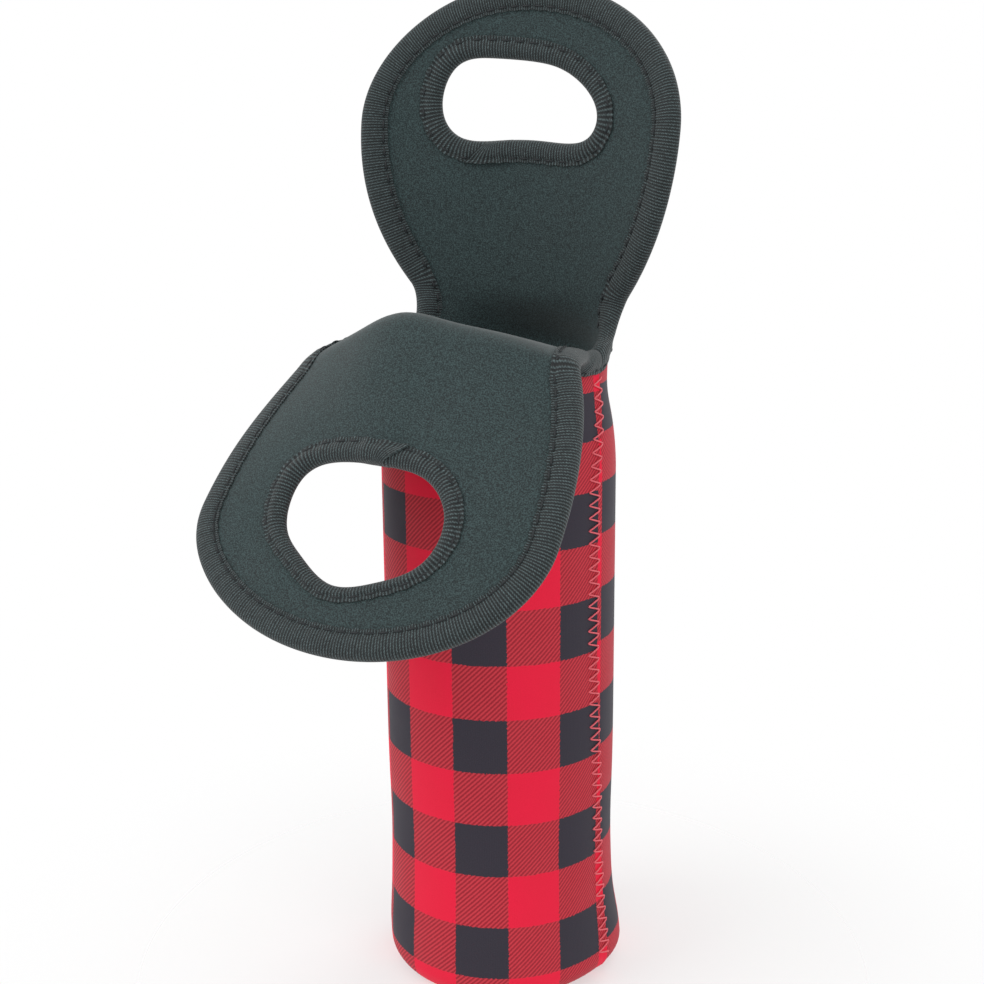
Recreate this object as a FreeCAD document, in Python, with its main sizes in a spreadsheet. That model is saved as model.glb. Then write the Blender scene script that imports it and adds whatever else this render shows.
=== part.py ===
"""Neoprene bottle carrier: a round sleeve of two panels, each running up into a handle flap.

Both panels are a bonded sandwich of printed knit, foam and knit lining. They are joined by two side
seams and a round base. Above the mouth each panel bends as a living hinge: the back flap stands up,
and the front flap lies folded out over the rim. Origin: centre of the base on the floor, +Z up,
-Y front. Millimetres and degrees.
"""
import FreeCAD, Part
import Sketcher
import math
import os

Vector = FreeCAD.Vector
X_AXIS = Vector(1, 0, 0)
Y_AXIS = Vector(0, 1, 0)
Z_AXIS = Vector(0, 0, 1)

SIZES = {
    # Sleeve and base
    "sleeve_height": 230,
    "body_radius": 42,
    "mouth_draw_in": 3,
    "taper_height": 36,
    "base_corner": 9,
    "seam_gap": 0.3,
    # Sandwich, from the printed side inwards
    "face_ply": 0.5,
    "foam_ply": 2.4,
    "lining_ply": 0.4,
    "glue_gap": 0.15,
    # Handle flaps, from the end of the bend to the tip; hand holes, flat side towards the sleeve
    "flap_length": 105,
    "flap_tip_bow": 0.8,
    "hole_corner": 11,
    # Front flap, as it lies: nearly flat, with its hand hole pulled open
    "front_root_half_width": 49.7,
    "front_half_width": 64,
    "front_widest": 60,
    "front_hole_width": 59.5,
    "front_hole_height": 43,
    "front_hole_start": 41.5,
    # Back flap, as it stands: bowed, so narrower across
    "back_root_half_width": 46,
    "back_half_width": 61.3,
    "back_widest": 60,
    "back_hole_width": 61,
    "back_hole_height": 30,
    "back_hole_start": 50,
    # Binding tape and its stitches
    "tape_thickness": 0.8,
    "tape_gap": 0.15,
    "edge_tape_width": 7.4,
    "hole_tape_width": 6.2,
    "edge_stitch_inset": 6.2,
    "hole_stitch_inset": 5.0,
    "stitch_pitch": 5.2,
    "stitch_length": 3.6,
    "stitch_width": 0.7,
    "stitch_height": 0.4,
    "stitch_gap": 0.15,
    "tape_lift": 6,
    # Bend of the front flap
    "front_rise": 6.8,
    "front_bend_radius": 8,
    "front_run_out": 0.7,
    "front_turn_angle": 146,
    "front_skew_angle": 1.6,
    "front_shift": 0.9,
    "front_root_bow": 12,
    "front_bow_fade": 2.6,
    "front_edge_rise": 10,
    "front_edge_run": 9,
    # Bend of the back flap
    "back_bend_height": 23,
    "back_inset": 9,
    "back_lean_angle": 4.5,
    "back_root_bow": 13,
    "back_bow_fade": 1,
    "back_edge_rise": 8,
    "back_edge_run": 8,
    # Side seams and base seam
    "zigzag_width": 6,
    "zigzag_pitch": 4.5,
    "thread_radius": 0.4,
    "thread_gap": 0.15,
    "seam_foot": 10,
    # Length by which cutting shapes run past what they cut
    "overrun": 4,
}

BEND_STEPS = 10
FLAP_STEPS = 8
FULL_TURN = 360
HALF_TURN = 180
# Share of the bend's length and width over which its direction is measured
PROBE_SHARE = 0.001
# Share of the back bend's height over which its middle line keeps the rim's direction
BACK_REACH_SHARE = 1 / 3

doc = FreeCAD.newDocument("bottle_carrier")
sheet = doc.addObject("Spreadsheet::Sheet", "sizes")
for row, (alias, number) in enumerate(SIZES.items(), start=1):
    sheet.set(f"A{row}", alias)
    sheet.set(f"B{row}", str(number))
    sheet.setAlias(f"B{row}", alias)
doc.recompute()


class Size:
    """A length from the sheet: its number now, and the expression that keeps it bound."""

    def __init__(self, value, text):
        self.value = value
        self.text = text

    def __add__(self, other):
        return Size(self.value + other.value, f"({self.text} + {other.text})")

    def __sub__(self, other):
        return Size(self.value - other.value, f"({self.text} - {other.text})")


def size(alias):
    return Size(float(sheet.get(alias)), f"sizes.{alias}")


def mm(alias):
    return size(alias).value


PLIES = {}
depth = Size(0.0, "0 * sizes.glue_gap")
for ply in ("face", "foam", "lining"):
    PLIES[ply] = (depth, depth + size(f"{ply}_ply"))
    depth = PLIES[ply][1] + size("glue_gap")
SANDWICH = PLIES["lining"][1]
HALF_SANDWICH = SANDWICH.value / 2
MOUTH_RADIUS = size("body_radius") - size("mouth_draw_in")
TAPER_START = size("sleeve_height") - size("taper_height")
# Radius of the middle of the sandwich at the rim
RIM_RADIUS = MOUTH_RADIUS.value - HALF_SANDWICH
TAPE_INNER = HALF_SANDWICH + mm("tape_gap")
TAPE_OUTER = TAPE_INNER + mm("tape_thickness")
parts = []


def keep(obj, label):
    """Marks a document object as a sub-part; its label names its file."""
    obj.Label = label
    parts.append(obj)
    return obj


def solid(name, shape):
    """A form that only code can make, held in the document."""
    obj = doc.addObject("Part::Feature", name)
    obj.Shape = shape
    return obj


# Sleeve and base

def bind_point(sketch, geometry, end, across, up):
    for kind, length in (("DistanceX", across), ("DistanceY", up)):
        index = sketch.addConstraint(Sketcher.Constraint(kind, -1, 1, geometry, end, length.value))
        sketch.setExpression(f"Constraints[{index}]", length.text)


def sleeve_ply(panel, ply):
    """Half tube: the wall's profile, with rounded foot and drawn-in mouth, turned from seam to seam."""
    near, far = PLIES[ply]
    body = doc.addObject("PartDesign::Body", f"{panel}_sleeve_{ply}_body")
    sketch = body.newObject("Sketcher::SketchObject", f"{panel}_sleeve_{ply}_profile")
    plane = [item for item in body.Origin.OriginFeatures if item.Role == "YZ_Plane"][0]
    sketch.AttachmentSupport = (plane, [""])
    sketch.MapMode = "FlatFace"
    corner = size("base_corner")
    foot = size("body_radius") - corner
    levels = [corner, TAPER_START, size("sleeve_height")]
    radii = [size("body_radius"), size("body_radius"), MOUTH_RADIUS]
    outer = [(radius - near, level) for radius, level in zip(radii, levels)]
    inner = [(radius - far, level) for radius, level in zip(radii, levels)]
    loop = outer + inner[::-1]
    points = [Vector(across.value, up.value, 0) for across, up in loop]
    centre = Vector(foot.value, corner.value, 0)
    lines = [sketch.addGeometry(Part.LineSegment(*pair)) for pair in zip(points, points[1:])]
    for line, (across, up) in zip(lines, loop):
        bind_point(sketch, line, 1, across, up)
    bind_point(sketch, lines[-1], 2, *loop[-1])
    arcs = []
    for ply_depth in (near, far):
        circle = Part.Circle(centre, Z_AXIS, corner.value - ply_depth.value)
        arc = sketch.addGeometry(Part.ArcOfCircle(circle, -math.pi / 2, 0))
        bind_point(sketch, arc, 3, foot, corner)
        sketch.addConstraint(Sketcher.Constraint("Vertical", arc, 1, arc, 3))
        arcs.append(arc)
    foot_line = sketch.addGeometry(Part.LineSegment(Vector(foot.value, near.value, 0),
                                                    Vector(foot.value, far.value, 0)))
    for first, first_end, second, second_end in (
            (arcs[0], 2, lines[0], 1), (arcs[1], 2, lines[-1], 2),
            (foot_line, 1, arcs[0], 1), (foot_line, 2, arcs[1], 1)):
        sketch.addConstraint(Sketcher.Constraint("Coincident", first, first_end, second, second_end))
    turned = body.newObject("PartDesign::Revolution", f"{panel}_sleeve_{ply}_turned")
    turned.Profile = sketch
    turned.ReferenceAxis = (sketch, ["V_Axis"])
    turned.Midplane = True
    seam_angle = f"{FULL_TURN} * sizes.seam_gap / (2 * pi * sizes.body_radius)"
    turned.setExpression("Angle", f"{HALF_TURN} - {seam_angle}")
    if panel == "front":
        body.Placement = FreeCAD.Placement(Vector(), FreeCAD.Rotation(Z_AXIS, HALF_TURN))
    return keep(body, f"{panel}_sleeve_{ply}")


def base_ply(ply):
    near, far = PLIES[ply]
    disc = doc.addObject("Part::Cylinder", f"base_{ply}")
    disc.setExpression("Radius", "sizes.body_radius - sizes.base_corner - sizes.seam_gap")
    disc.setExpression("Height", (far - near).text)
    disc.setExpression("Placement.Base.z", near.text)
    return keep(disc, f"base_{ply}")


# Handle flaps, in a frame of their own: X across, Z from the bend to the tip, hollow side towards -Y

def bow_radius(panel, up):
    """Radius of the flap's cross arc: its curvature fades from the bend to the tip."""
    root_bow, tip_bow = mm(f"{panel}_root_bow"), mm("flap_tip_bow")
    root_half, tip_half = mm(f"{panel}_root_half_width"), mm(f"{panel}_half_width")
    root_curve = 2 * root_bow / (root_half ** 2 + root_bow ** 2)
    tip_curve = 2 * tip_bow / (tip_half ** 2 + tip_bow ** 2)
    kept = (1 - up / mm("flap_length")) ** mm(f"{panel}_bow_fade")
    return 1 / (kept * root_curve + (1 - kept) * tip_curve)


def convex_offset(panel, ply_depth):
    """Distance of a ply face from the middle of the sandwich, towards the flap's convex side."""
    towards_face = HALF_SANDWICH - ply_depth
    return towards_face if panel == "back" else -towards_face


def cross_arc(panel, up, offset, half_width):
    """Three points of a flap's cross arc at one height, at one distance from the middle of the sheet."""
    radius = bow_radius(panel, up) + offset
    sag = radius - math.sqrt(radius ** 2 - half_width ** 2)
    side = offset - sag
    return [Vector(-half_width, side, up), Vector(0, offset, up), Vector(half_width, side, up)]


def strip_wire(first, second):
    """Closed outline between two arcs that are given by three points each."""
    edges = [Part.Arc(*first).toShape(), Part.LineSegment(first[2], second[2]).toShape(),
             Part.Arc(*second[::-1]).toShape(), Part.LineSegment(second[0], first[0]).toShape()]
    return Part.Wire(edges)


def flap_sheet(panel, low, high, name):
    """Bowed sheet between two offsets, larger than the flap: a loft through its cross arcs."""
    half_width = mm(f"{panel}_half_width") + mm("overrun")
    top = mm("flap_length") + mm("overrun")
    sections = []
    for step in range(FLAP_STEPS):
        up = top * step / (FLAP_STEPS - 1)
        level = min(up, mm("flap_length"))
        wire = strip_wire(*(cross_arc(panel, level, offset, half_width) for offset in (low, high)))
        wire.translate(Z_AXIS * (up - level))
        sections.append(solid(f"{name}_section", wire))
    loft = doc.addObject("Part::Loft", name)
    loft.Sections = sections
    loft.Solid = True
    return loft


def ellipse_top(half_width, level, height):
    """Upper half of an ellipse that stands on a level, whichever of its two axes is the longer."""
    centre = Vector(0, 0, level)
    side = centre + X_AXIS * half_width
    top = centre + Z_AXIS * height
    if half_width >= height:
        return Part.ArcOfEllipse(Part.Ellipse(side, top, centre), 0, math.pi).toShape()
    return Part.ArcOfEllipse(Part.Ellipse(top, side, centre), -math.pi / 2, math.pi / 2).toShape()


def arc_edge(*points):
    """Arc through three places, each given across and up, in the plane of the flap's outline."""
    return Part.Arc(*(Vector(across, 0, up) for across, up in points)).toShape()


def line_edge(*points):
    return Part.LineSegment(*(Vector(across, 0, up) for across, up in points)).toShape()


def flap_outline(panel, grow):
    """Flap outline, grown by a length: straight root, arcs to the widest place, half an ellipse."""
    root = mm(f"{panel}_root_half_width") + grow
    half = mm(f"{panel}_half_width") + grow
    widest = mm(f"{panel}_widest")
    side_radius = ((half - root) ** 2 + widest ** 2) / (2 * (half - root))
    middle_drop = widest / 2
    middle = half - side_radius + math.sqrt(side_radius ** 2 - middle_drop ** 2)
    edges = [line_edge((-root, 0), (root, 0)),
             arc_edge((root, 0), (middle, middle_drop), (half, widest)),
             ellipse_top(half, widest, mm("flap_length") - widest + grow),
             arc_edge((-half, widest), (-middle, middle_drop), (-root, 0))]
    return Part.Wire(edges)


def hole_outline(panel, grow):
    """Hand hole, grown by a length: straight side, rounded corners and half an ellipse towards the tip."""
    half = mm(f"{panel}_hole_width") / 2 + grow
    corner = mm("hole_corner") + grow
    low = mm(f"{panel}_hole_start") - grow
    flat = half - corner
    level = low + corner
    slant = corner * math.cos(math.pi / 4)
    edges = [line_edge((-flat, low), (flat, low)),
             arc_edge((flat, low), (flat + slant, level - slant), (half, level)),
             ellipse_top(half, level, mm(f"{panel}_hole_height") - mm("hole_corner") + grow),
             arc_edge((-half, level), (-flat - slant, level - slant), (-flat, low))]
    return Part.Wire(edges)


def prism(wire, name):
    """Cutting block: an outline carried through the flap from front to back."""
    block = doc.addObject("Part::Extrusion", name)
    block.Base = solid(f"{name}_outline", wire)
    block.DirMode = "Custom"
    block.Dir = Y_AXIS
    block.Solid = True
    block.setExpression("LengthFwd", "sizes.front_root_bow + sizes.back_root_bow + sizes.overrun")
    block.setExpression("LengthRev", "2 * (sizes.front_root_bow + sizes.back_root_bow) + sizes.overrun")
    return block


def combine(kind, base, tool, name):
    result = doc.addObject(f"Part::{kind}", name)
    result.Base = base
    result.Tool = tool
    return result


def flap_place(panel):
    """Place of a flap's frame at the end of its panel's bend."""
    if panel == "back":
        height = mm("sleeve_height") + mm("back_bend_height")
        base = Vector(0, RIM_RADIUS - mm("back_inset"), height)
        return FreeCAD.Placement(base, FreeCAD.Rotation(X_AXIS, mm("back_lean_angle")))
    end = front_middle(1.0) + X_AXIS * mm("front_shift")
    turn = FreeCAD.Rotation(X_AXIS, mm("front_turn_angle"))
    skew = FreeCAD.Rotation(Y_AXIS, -mm("front_skew_angle"))
    return FreeCAD.Placement(end, turn * skew)


def flap_parts(panel):
    """Plies, edge binding and hole binding of one flap."""
    place = flap_place(panel)
    outline = prism(flap_outline(panel, 0), f"{panel}_flap_block")
    hole = prism(hole_outline(panel, 0), f"{panel}_hole_block")
    for ply, (near, far) in PLIES.items():
        low, high = sorted(convex_offset(panel, side.value) for side in (near, far))
        sheet_loft = flap_sheet(panel, low, high, f"{panel}_{ply}_loft")
        trimmed = combine("Common", sheet_loft, outline, f"{panel}_{ply}_trimmed")
        holed = combine("Cut", trimmed, hole, f"{panel}_{ply}_holed")
        keep(holed, f"{panel}_flap_{ply}").Placement = place
    envelope = flap_sheet(panel, -TAPE_OUTER, TAPE_OUTER, f"{panel}_tape_loft")
    filling = flap_sheet(panel, -TAPE_INNER, TAPE_INNER, f"{panel}_filling_loft")
    tape_edge = mm("tape_gap") + mm("tape_thickness")
    grown = prism(flap_outline(panel, tape_edge), f"{panel}_edge_outer_block")
    shrunk = prism(flap_outline(panel, -mm("edge_tape_width")), f"{panel}_edge_inner_block")
    channel = prism(flap_outline(panel, mm("tape_gap")), f"{panel}_edge_channel_block")
    edge_wide = combine("Common", envelope, grown, f"{panel}_edge_wide")
    band = combine("Cut", edge_wide, shrunk, f"{panel}_edge_band")
    core = combine("Common", filling, channel, f"{panel}_edge_core")
    keep(combine("Cut", band, core, f"{panel}_edge_tape"), f"{panel}_flap_binding").Placement = place
    wide = prism(hole_outline(panel, mm("hole_tape_width")), f"{panel}_ring_outer_block")
    narrow = prism(hole_outline(panel, -tape_edge), f"{panel}_ring_inner_block")
    opening = prism(hole_outline(panel, -mm("tape_gap")), f"{panel}_ring_channel_block")
    ring_wide = combine("Common", envelope, wide, f"{panel}_ring_wide")
    ring = combine("Cut", ring_wide, narrow, f"{panel}_ring_band")
    ring_core = combine("Cut", filling, opening, f"{panel}_ring_core")
    keep(combine("Cut", ring, ring_core, f"{panel}_ring_tape"), f"{panel}_hole_binding").Placement = place


def flap_seat(panel, spot, lift):
    """Point at a height over a flap's middle surface, and the surface's outward direction there."""
    def level(across, up):
        radius = bow_radius(panel, up)
        return math.sqrt(radius ** 2 - across ** 2) - radius

    probe = PROBE_SHARE * mm("flap_length")
    across_slope = (level(spot.x + probe, spot.z) - level(spot.x - probe, spot.z)) / (2 * probe)
    up_slope = (level(spot.x, spot.z + probe) - level(spot.x, spot.z - probe)) / (2 * probe)
    outward = Vector(-across_slope, 1, -up_slope).normalize()
    return Vector(spot.x, level(spot.x, spot.z), spot.z) + outward * lift, outward


def stitch_row(panel, wire, label):
    """Lockstitches along a binding, on both of its faces: short bars that lie on the tape."""
    count = int(wire.Length / mm("stitch_pitch"))
    spots = wire.discretize(Number=2 * count + 1)
    length, height, width = mm("stitch_length"), mm("stitch_height"), mm("stitch_width")
    lift = TAPE_OUTER + mm("stitch_gap") + height / 2
    bars = []
    for index in range(1, 2 * count, 2):
        for side in (1, -1):
            seat, outward = flap_seat(panel, spots[index], side * lift)
            before, after = (flap_seat(panel, spots[index + step], side * lift)[0] for step in (-1, 1))
            along = after - before
            bar = Part.makeBox(length, height, width, Vector(-length, -height, -width) / 2)
            bar.Placement = FreeCAD.Placement(seat, FreeCAD.Rotation(along, outward, Vector(), "XYZ"))
            bars.append(bar)
    keep(solid(label, Part.makeCompound(bars)), label).Placement = flap_place(panel)


# Bends: the sheet between the sleeve's mouth and a flap

def curve(start, leaving, arriving, end, share):
    """Point on the curve that leaves start towards one point and reaches end from another."""
    rest = 1 - share
    return (start * rest ** 3 + leaving * (3 * rest ** 2 * share)
            + arriving * (3 * rest * share ** 2) + end * share ** 3)


def front_middle(share):
    """Middle line of the front bend: up from the rim, round the bend's arc, and out towards the flap."""
    rise, radius, run_out = mm("front_rise"), mm("front_bend_radius"), mm("front_run_out")
    turn = math.radians(mm("front_turn_angle"))
    rim = Vector(0, -RIM_RADIUS, mm("sleeve_height"))
    travel = share * (rise + radius * turn + run_out)
    if travel <= rise:
        return rim + Z_AXIS * travel
    angle = min((travel - rise) / radius, turn)
    point = rim + Vector(0, radius * (math.cos(angle) - 1), rise + radius * math.sin(angle))
    beyond = travel - rise - radius * angle
    return point + Vector(0, -math.sin(turn), math.cos(turn)) * beyond


def back_middle(share):
    """Middle line of the back bend: straight up from the rim, then over to the flap's lean."""
    rim = Vector(0, RIM_RADIUS, mm("sleeve_height"))
    reach = mm("back_bend_height") * BACK_REACH_SHARE
    end = flap_place("back").Base
    return curve(rim, rim + Z_AXIS * reach, end - flap_direction("back") * reach, end, share)


def flap_direction(panel):
    return flap_place(panel).Rotation.multVec(Z_AXIS)


def bend_edge(panel, side, share):
    """Side edge of a bend: from the top of the side seam to the corner of the flap's root."""
    start = Vector(side * RIM_RADIUS, 0, mm("sleeve_height"))
    corner = cross_arc(panel, 0, 0, mm(f"{panel}_root_half_width"))[1 + side]
    end = flap_place(panel).multVec(corner)
    leaving = start + Z_AXIS * mm(f"{panel}_edge_rise")
    arriving = end - flap_direction(panel) * mm(f"{panel}_edge_run")
    return curve(start, leaving, arriving, end, share)


def bend_point(panel, share, across):
    """Middle surface of a bend: at each share of its length an arc through both edges and the middle."""
    if panel == "front":
        middle = front_middle(share) + X_AXIS * mm("front_shift") * share
    else:
        middle = back_middle(share)
    arc = Part.Arc(bend_edge(panel, -1, share), middle, bend_edge(panel, 1, share))
    return arc.value(arc.FirstParameter + (arc.LastParameter - arc.FirstParameter) * (1 + across) / 2)


def bend_normal(panel, share, across):
    """Unit normal of the middle surface, from the printed side towards the lining."""
    if share == 0:
        along = Z_AXIS
    elif share == 1:
        along = flap_direction(panel)
    else:
        before, after = (bend_point(panel, share + step, across) for step in (-PROBE_SHARE, PROBE_SHARE))
        along = after - before
    left, right = (bend_point(panel, share, across + step) for step in (-PROBE_SHARE, PROBE_SHARE))
    sideways = right - left
    normal = along.cross(sideways).normalize()
    return normal * (-1 if panel == "back" else 1)


def bend_arc(panel, share, offset, low, high):
    """Three points of a bend's cross arc, moved from the middle surface towards the lining."""
    points = []
    for across in (low, (low + high) / 2, high):
        points.append(bend_point(panel, share, across) + bend_normal(panel, share, across) * offset)
    return points


def bend_sheet(panel, near, far, low, high):
    """Part of a bend between two offsets and two shares of its width: a loft along the bend."""
    sections = []
    for step in range(BEND_STEPS + 1):
        share = step / BEND_STEPS
        sections.append(strip_wire(bend_arc(panel, share, near, low, high),
                                   bend_arc(panel, share, far, low, high)))
    return Part.makeLoft(sections, True)


def bend_parts(panel):
    """Plies of one bend, and the binding on its two side edges, which starts above the side seam."""
    edge = 1 - mm("seam_gap") / MOUTH_RADIUS.value
    for ply, (near, far) in PLIES.items():
        shape = bend_sheet(panel, near.value - HALF_SANDWICH, far.value - HALF_SANDWICH, -edge, edge)
        keep(solid(f"{panel}_bend_{ply}", shape), f"{panel}_bend_{ply}")
    half_arc = MOUTH_RADIUS.value * math.pi / 2
    reach = 1 + (mm("tape_gap") + mm("tape_thickness")) / half_arc
    channel = 1 + mm("tape_gap") / half_arc
    inner = 1 - mm("edge_tape_width") / half_arc
    past = inner - mm("overrun") / half_arc
    slab_radius = MOUTH_RADIUS.value + mm("overrun")
    below = Part.makeCylinder(slab_radius, mm("tape_lift"), Vector(0, 0, mm("sleeve_height")))
    strips = []
    for side in (-1, 1):
        outer = bend_sheet(panel, -TAPE_OUTER, TAPE_OUTER, *sorted((side * inner, side * reach)))
        filling = bend_sheet(panel, -TAPE_INNER, TAPE_INNER, *sorted((side * past, side * channel)))
        strips.append(outer.cut(filling).cut(below))
    keep(solid(f"{panel}_bend_binding", Part.makeCompound(strips)), f"{panel}_bend_binding")


# Seam threads

def wall_radius(height):
    """Outside radius of the sleeve above its rounded foot."""
    share = max(0, height - TAPER_START.value) / mm("taper_height")
    return mm("body_radius") - mm("mouth_draw_in") * share


def side_seam(label, side):
    """Zigzag stitches that lie on the front panel, with one row of turns on the seam line."""
    thread = mm("thread_radius")
    count = int((mm("sleeve_height") - mm("seam_foot")) / mm("zigzag_pitch")) * 2
    turns = []
    for index in range(count + 1):
        height = mm("seam_foot") + index * mm("zigzag_pitch") / 2
        radius = wall_radius(height) + thread + mm("thread_gap")
        swing = mm("zigzag_width") / mm("body_radius") * (index % 2)
        turns.append(Vector(side * radius * math.cos(swing), -radius * math.sin(swing), height))
    stitches = []
    for low, high in zip(turns, turns[1:]):
        along = high - low
        inset = along / along.Length * thread
        stitches.append(Part.makeCylinder(thread, along.Length - 2 * thread, low + inset, along))
    keep(solid(label, Part.makeCompound(stitches)), label)


def base_seam():
    ring = doc.addObject("Part::Torus", "base_seam_ring")
    ring.setExpression("Radius1", "sizes.body_radius - sizes.base_corner")
    ring.setExpression("Radius2", "sizes.thread_radius")
    ring.setExpression("Placement.Base.z", f"{SANDWICH.text} + sizes.thread_radius + sizes.thread_gap")
    keep(ring, "base_seam_thread")


for panel in ("front", "back"):
    for ply in PLIES:
        sleeve_ply(panel, ply)
for ply in PLIES:
    base_ply(ply)
for panel in ("front", "back"):
    bend_parts(panel)
    flap_parts(panel)
    free_edge = Part.Wire(flap_outline(panel, -mm("edge_stitch_inset")).OrderedEdges[1:])
    stitch_row(panel, free_edge, f"{panel}_flap_stitching")
    stitch_row(panel, hole_outline(panel, mm("hole_stitch_inset")), f"{panel}_hole_stitching")
side_seam("right_side_seam", 1)
side_seam("left_side_seam", -1)
base_seam()
doc.recompute()

for obj in doc.Objects:
    if "Invalid" in obj.State or "Error" in obj.State:
        raise RuntimeError(f"{obj.Label} failed: {obj.State}")
for obj in parts:
    if obj.Shape.isNull() or not obj.Shape.isValid():
        raise RuntimeError(f"{obj.Label} has no valid shape")
os.makedirs("parts", exist_ok=True)
for obj in parts:
    obj.Shape.exportStep(f"parts/{obj.Label}.step")
    print(obj.Label, len(obj.Shape.Solids), round(obj.Shape.Volume, 1))
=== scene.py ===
"""Looks of a neoprene bottle carrier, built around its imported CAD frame.

Two printed panels make a round sleeve and run up into handle flaps. The back flap stands, and the front
flap lies folded out over the rim. Lengths are millimetres in the frame of the CAD model until a mesh is
made: origin at the centre of the base, +Z up, -Y front, +X towards the right side seam.
"""
import math

import bpy
import numpy as np
from mathutils import Matrix


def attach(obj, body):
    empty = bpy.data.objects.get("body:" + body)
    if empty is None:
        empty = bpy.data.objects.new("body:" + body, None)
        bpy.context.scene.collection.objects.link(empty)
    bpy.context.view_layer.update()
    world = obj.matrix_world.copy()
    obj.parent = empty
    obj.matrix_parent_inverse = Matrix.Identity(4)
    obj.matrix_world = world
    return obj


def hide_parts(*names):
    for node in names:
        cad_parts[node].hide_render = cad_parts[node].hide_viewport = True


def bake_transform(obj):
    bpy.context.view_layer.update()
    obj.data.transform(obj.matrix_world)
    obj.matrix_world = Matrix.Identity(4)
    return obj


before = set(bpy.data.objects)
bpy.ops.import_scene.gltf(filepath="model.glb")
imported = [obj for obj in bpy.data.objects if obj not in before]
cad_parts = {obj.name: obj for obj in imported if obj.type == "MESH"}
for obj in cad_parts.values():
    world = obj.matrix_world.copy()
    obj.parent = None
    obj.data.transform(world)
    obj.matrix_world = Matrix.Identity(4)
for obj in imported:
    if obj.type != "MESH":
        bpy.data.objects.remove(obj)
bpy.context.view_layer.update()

MM = 0.001
QUARTER = math.pi / 2
TINY = 1e-12
UP = np.array([0, 0, 1.0])

# Sleeve
RIM_Z = 230.0
BODY_RADIUS = 42.0
MOUTH_RADIUS = 39.0
TAPER_Z = 190.0
FOOT_RADIUS = 9.0
WALL = 3.6
LINING_DEPTH = 3.2
SKIN_GAP = 0.02
WAIST_DEPTH, WAIST_Z, WAIST_SPAN = 0.6, 56.0, 20.0
FOOT_SWELL, SWELL_Z, SWELL_SPAN = 0.7, 15.0, 11.0
RIM_MIDDLE = MOUTH_RADIUS - WALL / 2
BASE_RADIUS = 32.7
SEAM_GAP_ANGLE = 0.003
# The right side seam lies a little towards the front between the foot and the taper
SEAM_SHIFT = math.radians(8.6)
SEAM_LOW_Z, SEAM_LOW_SPAN = 20.0, 115.0
SEAM_HIGH_Z, SEAM_HIGH_SPAN = 188.0, 32.0
# The foot stands out beside the right seam
BULGE, BULGE_ANGLE, BULGE_WIDTH = 3.5, math.radians(113.0), math.radians(27.0)
BULGE_START, BULGE_FADE = 3.5, 20.0
# The back is drawn in beside the right seam, under the rim
PINCH, PINCH_ANGLE, PINCH_WIDTH = 0.9, math.radians(118.0), math.radians(24.0)
PINCH_Z, PINCH_SPAN = 219.0, 9.0
# At a seam the front panel stands proud and the back panel dips, which fades out under the rim
SEAM_LIP, SEAM_LIP_SPAN, BACK_DIP_SHARE = 0.45, 1.6, 0.7
LIP_FADE_DEPTH, LIP_FADE_SPAN = 14.0, 12.0
# The base's plies: rounded from a share of the radius on, by a share of their thickness
BASE_FIRST_RING, BASE_EDGE_START, BASE_ROUNDING = 0.03, 0.94, 0.35

# Check print
CHECK, COLUMN_CHECK = 19.65, 19.3
COLUMN_START = 3.3
ROW_START = 11.3
BACK_ROW_SHIFT = 2.5
# The print is drawn closer together towards the rim
DRAWN_FROM, DRAWN_SPAN, DRAWN = 160.0, 60.0, 6.9

# Binding tape
TAPE_INNER = 1.92
TAPE_OUTER = 2.8
TAPE_INNER_SEAT, TAPE_INNER_REACH = 2.6, 1.5
EDGE_TAPE_WIDTH = 9.2
# How far the tape stands out past the edge that it binds
TAPE_REACH = 1.2
# Distance of the line beside an edge that gives the tape its direction, and points to even it over
TAPE_CHORD, TAPE_BLUR = 10.0, 8
TAPE_STEP = 0.65
# Share of the tape's height from which it is one of its flat sides, and height from which a lap lifts it
TAPE_SIDE_SHARE, TAPE_LIFTED = 0.98, 1.0
# The tape puffs up between its edges, less at a stitch; it is drawn down along its stitches and its lip
PUFF, PUFF_DROP, PUFF_SPAN = 0.35, 0.2, 1.8
GROOVE, DIMPLE, GROOVE_SPAN = 0.2, 0.5, 0.8
LIP_DROP, LIP_SPAN, LIP_SWAY, LIP_BACK = 0.3, 1.2, 0.45, 0.2
# Share of a bend over which its sheet draws in from the seam to make room for the tape
TUCK_SHARE, TUCK_MORE = 0.4, 1.2
STITCH_PITCH = 5.2
STITCH_LENGTH = 3.7
STITCH_RADIUS = 0.36
STITCH_INSET = 1.3
STITCH_ARCH, STITCH_SUNK = 0.5, 0.55
# A stitch is full in its middle and thins out towards its ends
STITCH_FULL, STITCH_LEAST = 1.15, 0.1

# Length over which the front hole's tape narrows towards the tip
NARROWING_SPAN = 16.0

# Hole tape: its end laps over its start and is cut on a slant
HOLE_LAP, LAP_RISE, LAP_LIFT, LAP_SLANT = 11.0, 6.0, 0.95, 8.0
END_SPAN = 9.0
# Over each side seam the two edge tapes meet in a saddle above the end of the seam
SADDLE_RISE, SADDLE_SHARE = 4.0, 0.5
SADDLE_NARROWS, SADDLE_SPAN = 1.3, 14.0

# Grids
ACROSS = 48
BEND_ROWS = 18
RINGS = 22
FREE_EDGE = 156
BAND_ROWS, FOOT_ROWS = 110, 16
OUTLINE_STEPS, MIDDLE_STEPS = 200, 60
BEND_EDGE_STEPS, BEND_HALF_STEPS = 66, 24
HOLE_SPOKES, HOLE_STEPS = 720, 600
TAPE_SIDE_STEPS, TAPE_FOLD_STEPS = 12, 13
BASE_TURNS, BASE_RINGS = 96, 14
STITCH_RINGS, STITCH_SIDES, ZIGZAG_SIDES = 7, 6, 7

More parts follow.
